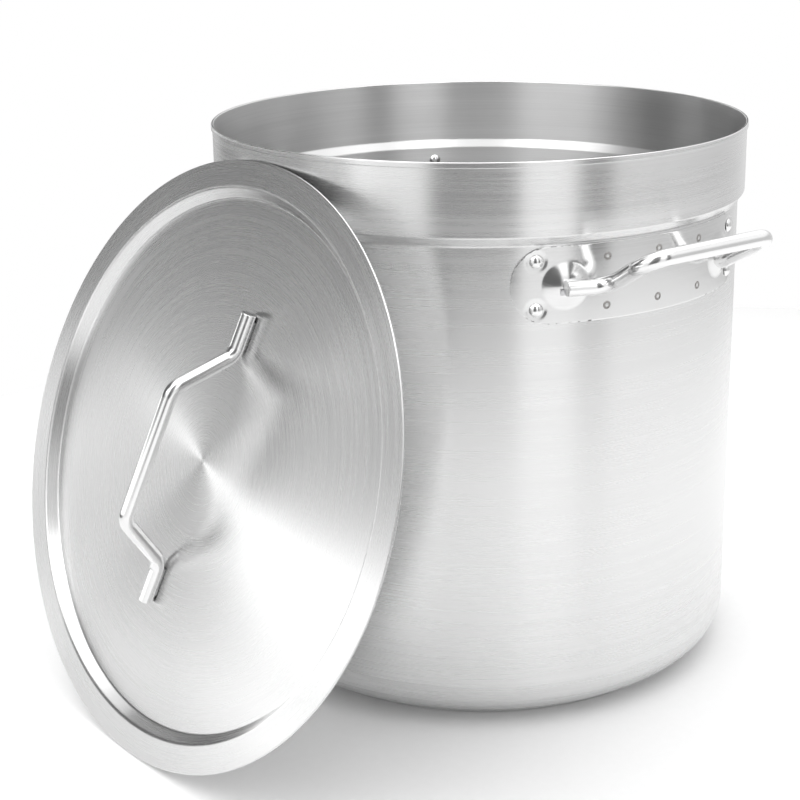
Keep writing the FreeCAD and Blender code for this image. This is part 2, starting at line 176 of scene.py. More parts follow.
SENSOR = 36.0
FARTHEST_SEEN = 50.0
LIGHT_TARGET = Vector((0.0, 0.0, 0.25))
TOP_LIGHT_HEIGHT = math.radians(88.0)
TOP_LIGHT_DISTANCE = 3.0
TOP_LIGHT_SIZE = 5.0
FLOOR_DEPTH = 0.01
FLOOR_SEGMENTS = 96
PAPER_COLOUR = (0.93, 0.93, 0.93)
PAPER_TINT = 0.006
PAPER_ROUGHNESS = 0.9
PAPER_SHINE = 0.1


# --- settings ------------------------------------------------------------------------------------

def length(name, description, default):
    """A size in millimetres, kept in metres."""
    return FloatProperty(name=name, description=description, default=default * MM,
                         unit="LENGTH", precision=5)


def angle_setting(name, description, degrees):
    return FloatProperty(name=name, description=description, default=math.radians(degrees),
                         subtype="ANGLE")


def colour_setting(name, description, *default):
    return FloatVectorProperty(name=name, description=description, subtype="COLOR", size=3,
                               default=default)


class KettlePotSettings(bpy.types.PropertyGroup):
    height: length("Height", "Floor to rim", 512.0)
    body_radius: length("Body radius", "Outside of the straight body", 244.0)
    collar_radius: length("Collar radius", "Outside of the wider collar", 250.0)
    collar_height: length("Collar height", "Rim down to the top of the step", 63.0)
    step_height: length("Step height", "Height of the sloping step", 8.0)
    sheet: length("Sheet", "Thickness of the pot's wall", 1.2)
    corner: length("Foot corner", "Radius between body and floor", 36.0)
    hem_height: length("Hem height", "Depth of the folded rim", 5.0)
    hem_depth: length("Hem depth", "How far the folded rim stands out", 1.2)
    base_radius: length("Base radius", "Outside of the base cap", 212.0)
    base_height: length("Base height", "Thickness of the sandwich base", 7.0)
    base_skin: length("Base skin", "Sheet of the base cap", 0.8)
    base_edge: length("Base edge", "Rounding of the base cap", 4.0)
    segments: IntProperty(name="Segments", description="Divisions round the pot", default=256, min=32)


class KettleHandleSettings(bpy.types.PropertyGroup):
    plate_sheet: length("Plate sheet", "Thickness of the bracket", 1.5)
    plate_half_height: length("Plate half height", "Half of the bracket's height", 33.0)
    plate_half_length: length("Plate half length", "Half of the bracket, along its curve", 138.3)
    plate_middle: length("Plate middle", "Height of the bracket's centre line", 407.0)
    boss_angle: angle_setting("Boss angle", "From the handle's middle to a boss", 21.3)
    boss_reach: length("Boss reach", "Radius of a raised boss", 17.5)
    boss_rise: length("Boss rise", "Height of a raised boss", 5.0)
    rivet_angle: angle_setting("Rivet angle", "From the handle's middle to the rivets", 27.2)
    rivet_spread: length("Rivet spread", "Rivet above or below the centre line", 20.5)
    rivet_head: length("Rivet head", "Radius of a rivet's head", 6.0)
    rivet_rise: length("Rivet rise", "Height of a rivet's head", 3.0)
    spot_angle: angle_setting("Spot angle", "Between neighbouring spot welds", 12.5)
    spot_spread: length("Spot spread", "Spot weld above or below the centre line", 21.0)
    spot_radius: length("Spot radius", "Radius of a spot weld's mark", 3.6)
    bar: length("Bar radius", "Radius of the side handle's bar", 7.0)
    bend: length("Bend", "Inner line of the bar's bends", 20.0)
    foot_end: length("Foot end", "Middle of the handle to the end of a foot", 97.5)
    foot_bend: length("Foot bend", "Middle of the handle to the bend of a foot", 61.0)
    corner: length("Corner", "Middle of the handle to the grip's corner", 74.0)
    reach: length("Reach", "Pot's axis to the grip", 309.0)
    lift: length("Lift", "Grip above the feet", 33.0)
    weld_rise: length("Weld rise", "Thickness of a foot weld", 0.5)


class KettleLidSettings(bpy.types.PropertyGroup):
    radius: length("Radius", "Outside of the flange", 263.0)
    recess_radius: length("Recess radius", "Inner edge of the flange", 238.0)
    panel_radius: length("Panel radius", "Foot of the recess wall", 231.0)
    recess: length("Recess", "Depth of the panel below the flange", 10.0)
    sheet: length("Sheet", "Thickness of the lid", 1.0)
    hem: length("Hem", "Thickness of the folded edge", 2.4)
    hem_width: length("Hem width", "Width of the folded edge", 3.0)
    gap: length("Gap", "Space left between the lid and the collar", 0.3)
    lean: angle_setting("Lean", "Tilt of the lid from level", 71.6)
    bearing: angle_setting("Bearing", "Turn of the lid round the pot", 4.6)
    bar: length("Bar radius", "Radius of the lid handle's bar", 6.5)
    bend: length("Bend", "Inner line of the bar's bends", 16.0)
    foot_end: length("Foot end", "Middle of the handle to the end of a foot", 138.0)
    foot_bend: length("Foot bend", "Middle of the handle to the bend of a foot", 99.0)
    corner: length("Corner", "Middle of the handle to the grip's corner", 62.0)
    rise: length("Rise", "Grip above the feet", 50.0)
    turn: angle_setting("Turn", "Turn of the handle on the lid", -11.4)
    weld_rise: length("Weld rise", "Thickness of a foot weld", 0.5)
    segments: IntProperty(name="Segments", description="Divisions round the lid", default=288, min=32)


class KettleFinishSettings(bpy.types.PropertyGroup):
    body_colour: colour_setting("Body steel", "Colour of the satin steel", 0.75, 0.75, 0.75)
    lid_colour: colour_setting("Lid steel", "Colour of the spun lid", 0.74, 0.74, 0.74)
    bar_colour: colour_setting("Bar steel", "Colour of the polished bars", 0.83, 0.83, 0.83)
    # The spot welds' dark colour is painted shade on each weld's ring.
    spot_ring_shade: colour_setting("Spot welds", "Colour of the spot welds' marks", 0.34, 0.33, 0.32)
    core_colour: colour_setting("Core", "Colour of the aluminium core", 0.66, 0.66, 0.67)


class KettleStudioSettings(bpy.types.PropertyGroup):
    distance: length("Distance", "Camera to the pot's axis, level", 1551.3)
    camera_height: length("Camera height", "Camera above the floor", 745.4)
    azimuth: angle_setting("Azimuth", "Camera's place round the pot, from -Y", 51.567)
    yaw: angle_setting("Yaw", "Camera turned to its right", -2.62)
    pitch: angle_setting("Pitch", "Camera tipped down", 15.88)
    roll: angle_setting("Roll", "Camera rolled", -0.762)
    focal: FloatProperty(name="Lens", description="Focal length on a 36 mm sensor", default=73.97)
    shift: FloatVectorProperty(name="Shift", description="Lens shift", size=2,
                               default=(-0.0072, -0.0906))
    brightness: FloatProperty(name="Surround", description="Light of the surround", default=1.0)
    glow: FloatProperty(name="Low glow", description="Level of the low wall on the lid's side",
                        default=2.0)
    lift: FloatProperty(name="Lift", description="Extra light of the walls above head height", default=0.7)
    overhead: FloatProperty(name="Overhead", description="Level of the surround overhead", default=0.9)
    top_light: FloatProperty(name="Top light", description="Power of the soft box overhead", default=70.0)
    floor_radius: length("Floor", "Radius of the pale floor", 1450.0)
    floor_centre: FloatVectorProperty(name="Floor centre", description="Middle of the pale floor",
                                      subtype="TRANSLATION", unit="LENGTH", size=2, default=(0.45, 0.15))


# --- outlines and turned pieces ------------------------------------------------------------------

def rounded(corners, support=0.4 * MM, steps=7):
    """An outline of (radius, height) points from (radius, height, rounding) corners."""
    line = [Vector(corners[0][:2])]
    for number in range(1, len(corners) - 1):
        here = Vector(corners[number][:2])
        rounding = corners[number][2] if len(corners[number]) > 2 else 0.0
        back = Vector(corners[number - 1][:2]) - here
        ahead = Vector(corners[number + 1][:2]) - here
        if rounding <= 0.0:
            line.append(here)
            continue
        half = back.angle(ahead) / 2.0
        setback = rounding / math.tan(half)
        centre = here + (back.normalized() + ahead.normalized()).normalized() * rounding / math.sin(half)
        start = here + back.normalized() * setback
        finish = here + ahead.normalized() * setback
        if back.length > setback + 2.0 * support:
            line.append(start + back.normalized() * support)
        first = start - centre
        turn = first.angle_signed(finish - centre)
        for step in range(steps + 1):
            spoke = first.copy()
            spoke.rotate(Matrix.Rotation(-turn * step / steps, 2))
            line.append(centre + spoke)
        if ahead.length > setback + 2.0 * support:
            line.append(finish + ahead.normalized() * support)
    line.append(Vector(corners[-1][:2]))
    return line


def divided(line, longest):
    """The same outline with its long runs cut into shorter ones."""
    fine = [line[0]]
    for here in line[1:]:
        last = fine[-1]
        count = max(1, math.ceil((here - last).length / longest))
        for step in range(1, count + 1):
            fine.append(last.lerp(here, step / count))
    return fine


def turned_mesh(name, line, segments, place=None):
    """A closed solid of revolution about Z, whose outline starts and ends on the axis.

    The UV map's U runs along the outline and V round the axis, both in metres.
    """
    mesh = bpy.data.meshes.new(name)
    work = bmesh.new()
    uv = work.loops.layers.uv.new("turning")
    along = [0.0]
    for last, here in zip(line, line[1:]):
        along.append(along[-1] + (here - last).length)
    on_axis = [point.x < 1e-7 for point in line]
    rings = []
    for point, pole in zip(line, on_axis):
        if pole:
            rings.append([work.verts.new((0.0, 0.0, point.y))])
            continue
        ring = []
        for step in range(segments):
            angle = 2.0 * math.pi * step / segments
            ring.append(work.verts.new((point.x * math.cos(angle), point.x * math.sin(angle), point.y)))
        rings.append(ring)
    girth = 2.0 * math.pi * max(point.x for point in line)
    for level in range(len(line) - 1):
        lower, upper = rings[level], rings[level + 1]
        for step in range(segments):
            after = (step + 1) % segments
            v0, v1 = girth * step / segments, girth * (step + 1) / segments
            u0, u1 = along[level], along[level + 1]
            if on_axis[level]:
                corners = (lower[0], upper[after], upper[step])
                places = ((u0, (v0 + v1) / 2.0), (u1, v1), (u1, v0))
            elif on_axis[level + 1]:
                corners = (lower[step], lower[after], upper[0])
                places = ((u0, v0), (u0, v1), (u1, (v0 + v1) / 2.0))
            else:
                corners = (lower[step], lower[after], upper[after], upper[step])
                places = ((u0, v0), (u0, v1), (u1, v1), (u1, v0))
            face = work.faces.new(corners)
            face.smooth = True
            for loop, spot in zip(face.loops, places):
                loop[uv].uv = spot
    bmesh.ops.recalc_face_normals(work, faces=work.faces)
    if place is not None:
        work.transform(place)
    work.to_mesh(mesh)
    work.free()
    return mesh


def new_piece(name, mesh, body, material, *nodes):
    """An object at the origin that rides a body and stands for the named CAD nodes."""
    piece = bpy.data.objects.new(name, mesh)
    bpy.context.scene.collection.objects.link(piece)
    mesh.materials.clear()
    mesh.materials.append(material)
    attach(piece, body)
    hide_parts(*nodes)
    return piece


def lid_matrix(lid, collar_radius):
    """The lid's own frame: Z along its axis, Y up its slope, at the flange's centre."""
    out = collar_radius + lid.gap + lid.radius * math.cos(lid.lean) + lid.hem * math.sin(lid.lean)
    height = lid.radius * math.sin(lid.lean) + lid.hem * math.cos(lid.lean)
    place = Vector((out * math.sin(lid.bearing), -out * math.cos(lid.bearing), height))
    turn = Matrix.Rotation(lid.bearing, 4, "Z") @ Matrix.Rotation(lid.lean, 4, "X")
    return Matrix.Translation(place) @ turn


# --- materials -----------------------------------------------------------------------------------

class NodeTree:
    """Short calls for adding and joining a material's nodes."""

    def __init__(self, tree):
        self.tree = tree

    def add(self, kind, **values):
        node = self.tree.nodes.new(kind)
        for key, value in values.items():
            setattr(node, key, value)
        return node

    def add_set(self, kind, constants, **values):
        """A node with its named sockets set."""
        node = self.add(kind, **values)
        for label, value in constants.items():
            node.inputs[label].default_value = value
        return node

    def join(self, source, target):
        self.tree.links.new(source, target)

    def math(self, operation, first, second=None):
        node = self.add("ShaderNodeMath", operation=operation)
        for socket, value in zip(node.inputs, (first, second)):
            if value is None:
                continue
            if isinstance(value, (int, float)):
                socket.default_value = value
            else:
                self.join(value, socket)
        return node.outputs[0]

    def blend(self, first, share, second):
        """A share of one value and the rest of another."""
        return self.math("ADD", self.math("MULTIPLY", first, share),
                         self.math("MULTIPLY", second, 1.0 - share))

    def noise(self, vector, scale, detail, roughness):
        node = self.add_set("ShaderNodeTexNoise",
                            {"Scale": scale, "Detail": detail, "Roughness": roughness})
        self.join(vector, node.inputs["Vector"])
        return node.outputs["Fac"]

    def remap(self, value, low, high, from_low=0.3, from_high=0.7):
        limits = {"From Min": from_low, "From Max": from_high, "To Min": low, "To Max": high}
        node = self.add_set("ShaderNodeMapRange", limits, clamp=True)
        self.join(value, node.inputs["Value"])
        return node.outputs["Result"]

    def mix(self, factor, first, second):
        """From a grey level or a colour socket to another, by a factor."""
        node = self.add("ShaderNodeMix", data_type="RGBA")
        self.join(factor, node.inputs["Factor"])
        for label, value in (("A", first), ("B", second)):
            if isinstance(value, float):
                node.inputs[label].default_value = (value, value, value, 1.0)
            else:
                self.join(value, node.inputs[label])
        return node.outputs["Result"]

    def tint(self, factor, middle, spread):
        """A colour that wanders either side of a middle one, by a factor."""
        node = self.add("ShaderNodeMix", data_type="RGBA")
        self.join(factor, node.inputs["Factor"])
        node.inputs["A"].default_value = tuple(part * (1.0 - spread) for part in middle) + (1.0,)
        node.inputs["B"].default_value = tuple(min(part * (1.0 + spread), 1.0) for part in middle) + (1.0,)
        return node.outputs["Result"]


def new_material(name):
    material = bpy.data.materials.new(name)
    material.use_nodes = True
    tree = NodeTree(material.node_tree)
    shader = material.node_tree.nodes["Principled BSDF"]
    shader.inputs["Metallic"].default_value = 1.0
    return material, tree, shader


def add_relief(tree, shader, height, strength):
    relief = tree.add_set("ShaderNodeBump", {"Strength": strength, "Distance": RELIEF_DEPTH})
    tree.join(height, relief.inputs["Height"])
    tree.join(relief.outputs["Normal"], shader.inputs["Normal"])


def turned_steel(name, base, roughness, spread, directional, grain, bump, place=None):
    """Steel brushed round an axis: hair-fine scratches that circle it, and slow cloudy wear."""
    material, tree, shader = new_material(name)
    spot = tree.add("ShaderNodeTexCoord").outputs["Object"]
    if place is not None:
        back = place.inverted()
        places = {"Location": back.to_translation(), "Rotation": back.to_euler()}
        mapping = tree.add_set("ShaderNodeMapping", places, vector_type="POINT")
        tree.join(spot, mapping.inputs["Vector"])
        spot = mapping.outputs["Vector"]
    parts = tree.add("ShaderNodeSeparateXYZ")
    tree.join(spot, parts.inputs[0])
    x, y, z = parts.outputs
    ring = tree.math("SQRT", tree.math("ADD", tree.math("MULTIPLY", x, x), tree.math("MULTIPLY", y, y)))
    across = tree.math("ADD", ring, z)
    scratch = tree.add("ShaderNodeCombineXYZ")
    tree.join(tree.math("MULTIPLY", x, SCRATCH_TURN), scratch.inputs[0])
    tree.join(tree.math("MULTIPLY", y, SCRATCH_TURN), scratch.inputs[1])
    tree.join(across, scratch.inputs[2])
    fine = tree.noise(scratch.outputs[0], grain, *FINE_SCRATCHES)
    broad = tree.noise(scratch.outputs[0], grain * BROAD_SCALE, *BROAD_SCRATCHES)
    cloud = tree.noise(spot, *SLOW_WEAR)
    mixed = tree.blend(fine, FINE_SHARE, broad)
    shade = tree.remap(mixed, 0.0, 1.0, 0.35, 0.65)
    tree.join(tree.tint(shade, base, TURNED_TINT), shader.inputs["Base Color"])
    worn = tree.blend(mixed, SCRATCH_SHARE, cloud)
    tree.join(tree.remap(worn, roughness - spread, roughness + spread, 0.35, 0.65),
              shader.inputs["Roughness"])
    add_relief(tree, shader, mixed, bump)
    if directional > 0.0:
        shader.inputs["Anisotropic"].default_value = directional
        tangent = tree.add("ShaderNodeTangent", direction_type="UV_MAP", uv_map="turning")
        tree.join(tangent.outputs["Tangent"], shader.inputs["Tangent"])
    return material


def polished_steel(name, base, roughness, spread, bump):
    """Bright steel with faint polishing swirls and finger-worn patches."""
    material, tree, shader = new_material(name)
    spot = tree.add("ShaderNodeTexCoord").outputs["Object"]
    fine = tree.noise(spot, *SWIRLS)
    cloud = tree.noise(spot, *HANDLED_PATCHES)
    mixed = tree.blend(fine, SWIRL_SHARE, cloud)
    tree.join(tree.tint(tree.remap(cloud, 0.0, 1.0), base, POLISHED_TINT), shader.inputs["Base Color"])
    tree.join(tree.remap(mixed, roughness - spread, roughness + spread), shader.inputs["Roughness"])
    add_relief(tree, shader, fine, bump)
    return material


def spot_weld_steel(name, ring_shade_colour, middle_colour, radius):
    """A spot weld's mark: a dull dark ring of painted shade round a brighter middle, read from the button's
    own UV.
    """
    material, tree, shader = new_material(name)
    along = tree.add("ShaderNodeSeparateXYZ")
    tree.join(tree.add("ShaderNodeUVMap", uv_map="turning").outputs["UV"], along.inputs[0])
    middle = tree.remap(along.outputs[0], 0.0, 1.0, radius * WELD_RING[0], radius * WELD_RING[1])
    spot = tree.add("ShaderNodeTexCoord").outputs["Object"]
    mottle = tree.noise(spot, *WELD_MOTTLE)
    # The ring's dark colour is painted shade; the middle keeps the body's steel colour.
    ring = tree.tint(tree.remap(mottle, 0.0, 1.0), ring_shade_colour, WELD_RING_TINT)
    inner = tree.tint(mottle, middle_colour, WELD_MIDDLE_TINT)
    tree.join(tree.mix(middle, ring, inner), shader.inputs["Base Color"])
    tree.join(tree.remap(mottle, *WELD_ROUGHNESS), shader.inputs["Roughness"])
    return material


def material_for(key):
    """Each finish is made once, when the first piece asks for it."""
    held = bpy.data.materials.get(key)
    if held is not None:
        return held
    kettle = bpy.context.scene.kettle
    finish = kettle.finish
    if key in TURNED_FINISHES:
        base, *values = TURNED_FINISHES[key]
        place = lid_matrix(kettle.lid, kettle.pot.collar_radius) if key == "spun_steel" else None
        return turned_steel(key, getattr(finish, base), *values, place)
    if key in POLISHED_FINISHES:
        base, *values = POLISHED_FINISHES[key]
        return polished_steel(key, getattr(finish, base), *values)
    if key == "spot_steel":
        return spot_weld_steel(key, finish.spot_ring_shade, finish.body_colour, kettle.handles.spot_radius)
    raise RuntimeError("no finish called " + key)


# --- geometry node trees -------------------------------------------------------------------------

def new_tree(name, sockets):
    tree = bpy.data.node_groups.new(name, "GeometryNodeTree")
    tree.interface.new_socket("Geometry", in_out="INPUT", socket_type="NodeSocketGeometry")
    for label, kind in sockets:
        tree.interface.new_socket(label, in_out="INPUT", socket_type=kind)
    tree.interface.new_socket("Geometry", in_out="OUTPUT", socket_type="NodeSocketGeometry")
    return tree


def chain(tree, *pairs):
    for source, target in pairs:
        tree.links.new(source, target)


def close_tree(tree, entry, made):
    """Realise what was made, give it the tree's finish and send it out."""
    realize = tree.nodes.new("GeometryNodeRealizeInstances")
    finish = tree.nodes.new("GeometryNodeSetMaterial")
    leave = tree.nodes.new("NodeGroupOutput")
    chain(tree,
          (made, realize.inputs["Geometry"]),
          (realize.outputs["Geometry"], finish.inputs["Geometry"]),
          (entry.outputs["Finish"], finish.inputs["Material"]),
          (finish.outputs["Geometry"], leave.inputs["Geometry"]))


def bent_bar_tree():
    """A round bar along a path whose corners are rounded to one bend."""
    held = bpy.data.node_groups.get("bent_bar")
    if held is not None:
        return held
    tree = new_tree("bent_bar", (("Bar Radius", "NodeSocketFloat"), ("Bend", "NodeSocketFloat"),
                                 ("Sides", "NodeSocketInt"), ("Finish", "NodeSocketMaterial")))
    nodes = tree.nodes
    entry = nodes.new("NodeGroupInput")
    corner = nodes.new("GeometryNodeFilletCurve")
    corner.mode = "POLY"
    corner.inputs["Count"].default_value = BEND_STEPS
    ring = nodes.new("GeometryNodeCurvePrimitiveCircle")
    sweep = nodes.new("GeometryNodeCurveToMesh")
    sweep.inputs["Fill Caps"].default_value = True
    smooth = nodes.new("GeometryNodeSetShadeSmooth")
    chain(tree,
          (entry.outputs["Geometry"], corner.inputs["Curve"]),
          (entry.outputs["Bend"], corner.inputs["Radius"]),
          (corner.outputs[0], sweep.inputs["Curve"]),
          (entry.outputs["Sides"], ring.inputs["Resolution"]),
          (entry.outputs["Bar Radius"], ring.inputs["Radius"]),
          (ring.outputs["Curve"], sweep.inputs["Profile Curve"]),
          (sweep.outputs["Mesh"], smooth.inputs["Geometry"]))
    close_tree(tree, entry, smooth.outputs["Geometry"])
    return tree


def scatter_tree():
    """A fastener set on each point, turned to face along the point's own direction."""
    held = bpy.data.node_groups.get("set_on_points")
    if held is not None:
        return held
    tree = new_tree("set_on_points", (("Fastener", "NodeSocketObject"), ("Size", "NodeSocketFloat"),
                                      ("Finish", "NodeSocketMaterial")))
    nodes = tree.nodes
    entry = nodes.new("NodeGroupInput")
    source = nodes.new("GeometryNodeObjectInfo")
    facing = nodes.new("GeometryNodeInputNamedAttribute")
    facing.data_type = "FLOAT_VECTOR"
    facing.inputs["Name"].default_value = "facing"
    turn = nodes.new("FunctionNodeAlignRotationToVector")
    turn.axis = "Z"
    place = nodes.new("GeometryNodeInstanceOnPoints")
    chain(tree,
          (entry.outputs["Geometry"], place.inputs["Points"]),
          (entry.outputs["Fastener"], source.inputs["Object"]),
          (source.outputs["Geometry"], place.inputs["Instance"]),
          (entry.outputs["Size"], place.inputs["Scale"]),
          (facing.outputs["Attribute"], turn.inputs["Vector"]),
          (turn.outputs["Rotation"], place.inputs["Rotation"]))
    close_tree(tree, entry, place.outputs["Instances"])
    return tree


def grown_mesh(name, source, tree, values):
    """Run a tree on an object and keep the result as a plain mesh; the object is used up."""
    bpy.context.scene.collection.objects.link(source)
    modifier = source.modifiers.new("grow", "NODES")
    modifier.node_group = tree
    for item in tree.interface.items_tree:
        if item.item_type == "SOCKET" and item.in_out == "INPUT" and item.name in values:
            modifier[item.identifier] = values[item.name]
    source.update_tag()
    graph = bpy.context.evaluated_depsgraph_get()
    graph.update()
    mesh = bpy.data.meshes.new_from_object(source.evaluated_get(graph))
    mesh.name = name
    bpy.data.objects.remove(source)
    if not mesh.polygons:
        raise RuntimeError(name + " came out empty")
    return mesh


def path_object(name, points):
    curve = bpy.data.curves.new(name, "CURVE")
    curve.dimensions = "3D"
    spline = curve.splines.new("POLY")
    spline.points.add(len(points) - 1)
    for point, place in zip(spline.points, points):
        point.co = (*place, 1.0)
    return bpy.data.objects.new(name, curve)


def bent_bar(name, points, radius, bend, material, place=None):
    """A bar mesh with both ends cut flush and their edges eased."""
    mesh = grown_mesh(name, path_object(name + "_path", points), bent_bar_tree(),
                      {"Bar Radius": radius, "Bend": bend, "Sides": BAR_SIDES, "Finish": material})
    work = bmesh.new()
    work.from_mesh(mesh)
    bmesh.ops.remove_doubles(work, verts=work.verts, dist=1e-6)
    caps = [face for face in work.faces if len(face.verts) > 4]
    if len(caps) != 2:
        raise RuntimeError(name + " isn't closed")
    rims = [edge for face in caps for edge in face.edges]
    bmesh.ops.bevel(work, geom=rims, offset=BAR_EASING, segments=EASING_STEPS, affect="EDGES",
                    profile=BAR_EASING_PROFILE)
    for face in work.faces:
        face.smooth = len(face.verts) <= 4
    bmesh.ops.recalc_face_normals(work, faces=work.faces)
    if place is not None:
        work.transform(place)
    work.to_mesh(mesh)
    work.free()
    return mesh


def facing_points(name, places):
    """Loose points with a direction each, for the scatter tree."""
    mesh = bpy.data.meshes.new(name)
    mesh.from_pydata([place for place, _ in places], [], [])
    attribute = mesh.attributes.new("facing", "FLOAT_VECTOR", "POINT")
    for item, (_, direction) in zip(attribute.data, places):
        item.vector = direction
    return bpy.data.objects.new(name, mesh)


def scattered(name, outline, places, material):
    """One fastener, turned from an outline, set on every place."""
    pattern = bpy.data.objects.new(name + "_pattern",
                                   turned_mesh(name + "_pattern", outline, FASTENER_SEGMENTS))
    mesh = grown_mesh(name, facing_points(name + "_points", places), scatter_tree(),
                      {"Fastener": pattern, "Size": 1.0, "Finish": material})
    bpy.data.objects.remove(pattern)
    return mesh


def on_wall(radius, angle, height):
    return Vector((radius * math.cos(angle), radius * math.sin(angle), height))


def wall_places(kettle, angles, spread, inside_too):
    """Places in pairs on a bracket's face, each with its direction, and behind them inside the pot."""
    pot, handle = kettle.pot, kettle.handles
    places = []
    for angle in angles:
        for level in (1.0, -1.0):
            height = handle.plate_middle + level * spread
            face = pot.body_radius + handle.plate_sheet
            places.append((on_wall(face, angle, height), on_wall(1.0, angle, 0.0)))
            if inside_too:
                inner = pot.body_radius - pot.sheet
                places.append((on_wall(inner, angle, height), on_wall(-1.0, angle, 0.0)))
    return places


# --- operators: the kettle -----------------------------------------------------------------------

class KETTLE_OT_pot(bpy.types.Operator):
    """Turn the pot: floor, rounded foot, straight body, stepped collar and hemmed rim"""
    bl_idname = "kettle.pot"
    bl_label = "Pot"

    def execute(self, context):
        pot = context.scene.kettle.pot
        step_top = pot.height - pot.collar_height
        step_foot = step_top - pot.step_height
        hem_foot = pot.height - pot.hem_height
        hem_radius = pot.collar_radius + pot.hem_depth
        inner_body = pot.body_radius - pot.sheet
        inner_collar = pot.collar_radius - pot.sheet
        floor = pot.base_height + pot.sheet
        line = rounded([
            (0.0, pot.base_height),
            (pot.body_radius, pot.base_height, pot.corner),
            (pot.body_radius, step_foot, PRESS_BEND),
            (pot.collar_radius, step_top, PRESS_BEND),
            (pot.collar_radius, hem_foot, CUT_EDGE),
            (hem_radius, hem_foot, SOFT_EDGE),
            (hem_radius, pot.height, POT_HEM_EDGE),
            (inner_collar, pot.height, POT_HEM_EDGE),
            (inner_collar, step_top, PRESS_BEND),
            (inner_body, step_foot, PRESS_BEND),
            (inner_body, floor, pot.corner - pot.sheet),
            (0.0, floor),
        ], steps=ROUNDING_STEPS)
        mesh = turned_mesh("pot", divided(line, POT_RUN), pot.segments)
        new_piece("pot", mesh, POT_BODY, material_for("pot_steel"), "pot_shell")
        mesh.materials.append(material_for("pot_inside_steel"))
        mark_inside(mesh, floor)
        return {"FINISHED"}


def mark_inside(mesh, floor):
    """Give the second finish to the faces that look inwards, and to the floor."""
    for face in mesh.polygons:
        centre, normal = face.center, face.normal
        inwards = centre.x * normal.x + centre.y * normal.y < LOOKS_INWARDS
        if inwards or (normal.z > LOOKS_UP and centre.z < floor + NEAR_FLOOR):
            face.material_index = 1


class KETTLE_OT_base(bpy.types.Operator):
    """Press the stainless cap of the sandwich base and finish the core inside it"""
    bl_idname = "kettle.base"
    bl_label = "Sandwich base"

    def execute(self, context):
        pot = context.scene.kettle.pot
        inner = pot.base_radius - pot.base_skin
        line = rounded([
            (0.0, 0.0),
            (pot.base_radius, 0.0, pot.base_edge),
            (pot.base_radius, pot.base_height, THIN_EDGE),
            (inner, pot.base_height, THIN_EDGE),
            (inner, pot.base_skin, pot.base_edge - pot.base_skin),
            (0.0, pot.base_skin),
        ])
        mesh = turned_mesh("base_pan", divided(line, POT_RUN), pot.segments)
        new_piece("base_pan", mesh, POT_BODY, material_for("pot_steel"), "base_cap")
        dress("base_core", "core_aluminium")
        return {"FINISHED"}


def dress(node, key):
    """Give a carried-over CAD node one of the finishes."""
    piece = bpy.data.objects[node]
    piece.data.materials.clear()
    piece.data.materials.append(material_for(key))


def swell(distance, reach, rise):
    """Height of a soft pressed dome at a distance from its middle."""
    return rise * max(1.0 - (distance / reach) ** 2, 0.0) ** 1.5


def dent(distance, ring):
    """Depth of a round dent whose lowest line is a ring."""
    away = abs(distance - ring)
    if away >= DENT_WIDTH:
        return 0.0
    return -DENT_DEPTH * 0.5 * (1.0 + math.cos(math.pi * away / DENT_WIDTH))


def plate_stations(handle):
    """Places along half a plate, each with the plate's half height there, closer towards the tip."""
    half_height = handle.plate_half_height
    straight = handle.plate_half_length - half_height
    stations = [(straight * step / PLATE_RUN_STEPS, half_height) for step in range(PLATE_RUN_STEPS)]
    for step in range(PLATE_END_STEPS + 1):
        angle = math.radians(90.0) * step / PLATE_END_STEPS
        stations.append((straight + half_height * math.sin(angle), half_height * math.cos(angle)))
    return stations


def plate_height(handle, face, along, up):
    """How far the pressed plate stands off its own flat face, from its bosses and rivet dents."""
    out = 0.0
    for sign in (1.0, -1.0):
        across = along - sign * face * handle.boss_angle
        out += swell(math.hypot(across, up), handle.boss_reach * SOFT_BOSS, handle.boss_rise)
        across = along - sign * face * handle.rivet_angle
        for level in (1.0, -1.0):
            away = math.hypot(across, up - level * handle.rivet_spread)
            out += dent(away, handle.rivet_head)
    return out


def plate_mesh(name, pot, handle, side):
    """A plate with round ends rolled to the wall, with bosses, and a dent round each rivet."""
    face = pot.body_radius + handle.plate_sheet
    half = plate_stations(handle)
    stations = [(-along, tall) for along, tall in reversed(half[1:])] + half
    work = bmesh.new()
    grid = []
    for along, tall in stations:
        line = []
        for row in range(PLATE_ROWS + 1):
            up = tall * (2.0 * row / PLATE_ROWS - 1.0)
            out = face + plate_height(handle, face, along, up)
            line.append(work.verts.new(on_wall(out, along / face + side, handle.plate_middle + up)))
        grid.append(line)
    for first, second in zip(grid, grid[1:]):
        for row in range(PLATE_ROWS):
            corners = (first[row], second[row], second[row + 1], first[row + 1])
            work.faces.new(corners).smooth = True
    bmesh.ops.remove_doubles(work, verts=work.verts, dist=1e-5)
    bmesh.ops.dissolve_degenerate(work, dist=1e-6, edges=work.edges)
    bmesh.ops.recalc_face_normals(work, faces=work.faces)
    outward = on_wall(1.0, side, 0.0)
    if sum(face.normal.dot(outward) for face in work.faces) < 0.0:
        bmesh.ops.reverse_faces(work, faces=work.faces)
    mesh = bpy.data.meshes.new(name)
    work.to_mesh(mesh)
    work.free()
    return mesh


def with_thickness(piece, thickness):
    """Give an open sheet its thickness inward and ease its cut edge."""
    wall = piece.modifiers.new("sheet", "SOLIDIFY")
    wall.thickness = thickness
    wall.offset = -1.0
    ease = piece.modifiers.new("edge", "BEVEL")
    ease.limit_method = "ANGLE"
    ease.angle_limit = PLATE_CORNER
    ease.width = PLATE_EASING
    ease.segments = EASING_STEPS
    graph = bpy.context.evaluated_depsgraph_get()
    mesh = bpy.data.meshes.new_from_object(piece.evaluated_get(graph))
    piece.modifiers.clear()
    piece.data = mesh
    for face in mesh.polygons:
        face.use_smooth = True


